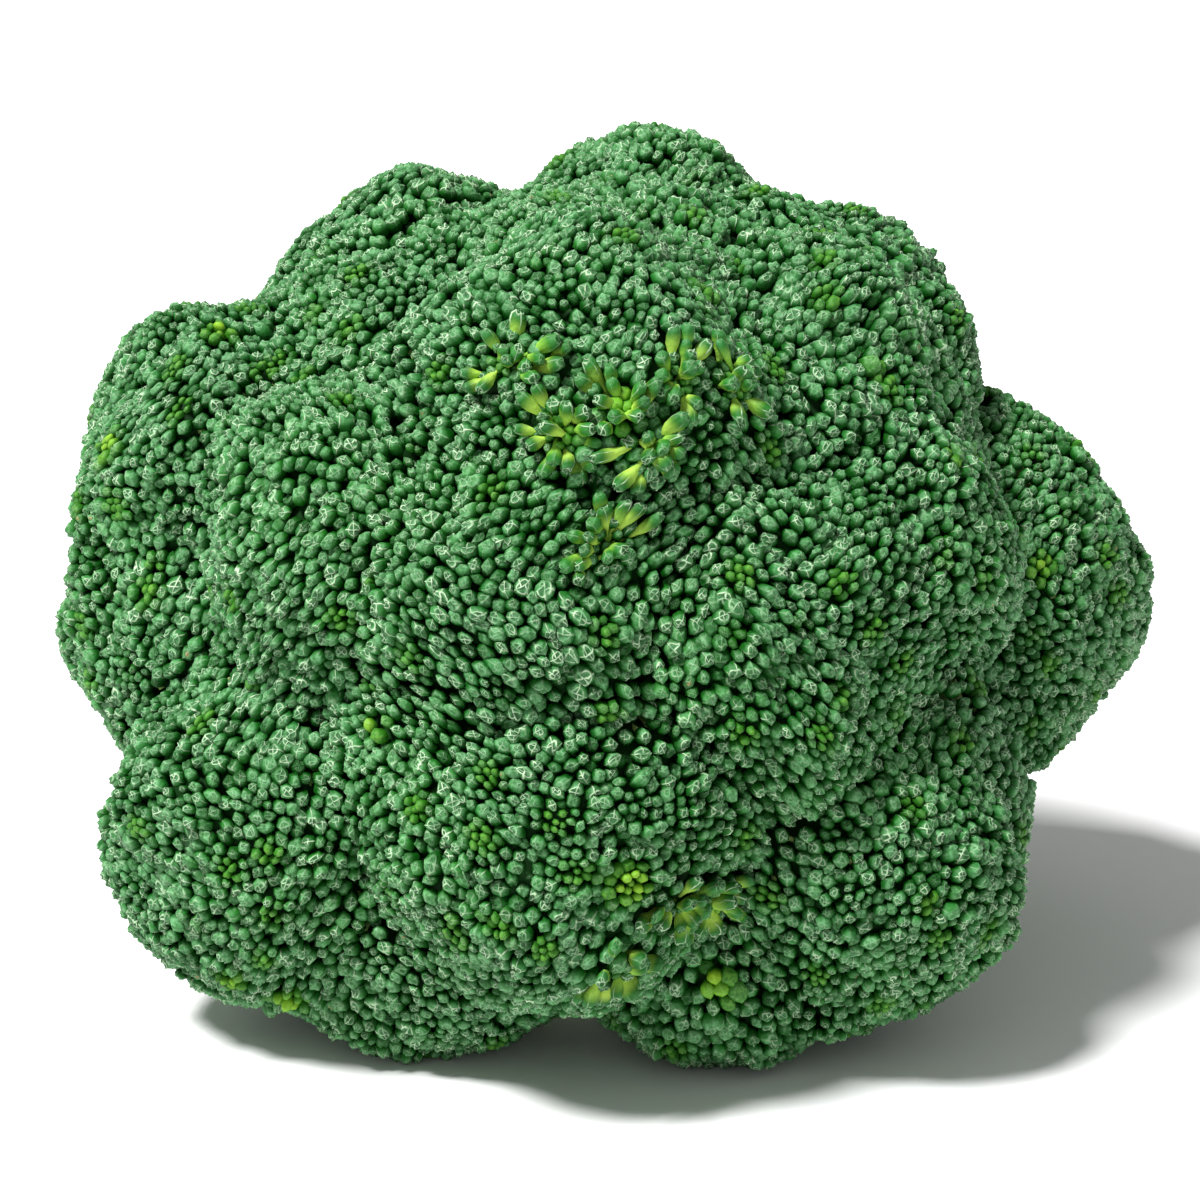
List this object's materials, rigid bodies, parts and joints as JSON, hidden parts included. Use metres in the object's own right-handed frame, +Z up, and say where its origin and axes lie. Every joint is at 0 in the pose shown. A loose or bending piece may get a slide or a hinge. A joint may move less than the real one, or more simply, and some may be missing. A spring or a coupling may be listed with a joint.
{
  "type": "broccoli head",
  "caption": "Head of broccoli lying on its side: a short cut stem branching into a dense crown of rounded florets covered in small buds.",
  "frame": {"origin": "on the surface that the head lies on, under the middle of its bounding box", "axes": "+Z up, the crown faces -Y and up, and the cut stem points to +Y and down"},
  "size_m": [0.1695, 0.1452, 0.1269],
  "materials": {
    "buds": "waxy blue-green flower buds with a faint bloom, yellow-green where they are youngest; plant tissue",
    "stalk": "smooth pale green skin, satin, with a paler moist cut face; plant tissue"
  },
  "bodies": {
    "root": {"stalk": "stalk", "floret_centre_upper": "buds", "floret_centre_lower": "buds", "floret_inner_top": "buds", "floret_inner_upper_right": "buds", "floret_inner_right": "buds", "floret_inner_lower_right": "buds", "floret_inner_bottom": "buds", "floret_inner_left": "buds", "floret_inner_upper_left": "buds", "floret_rim_top": "buds", "floret_rim_upper_right": "buds", "floret_rim_right": "buds", "floret_rim_lower_right": "buds", "floret_rim_foot_right": "buds", "floret_rim_foot_left": "buds", "floret_rim_lower_left": "buds", "floret_rim_middle_left": "buds", "floret_rim_left": "buds", "floret_rim_upper_left": "buds"}
  },
  "joints": []
}
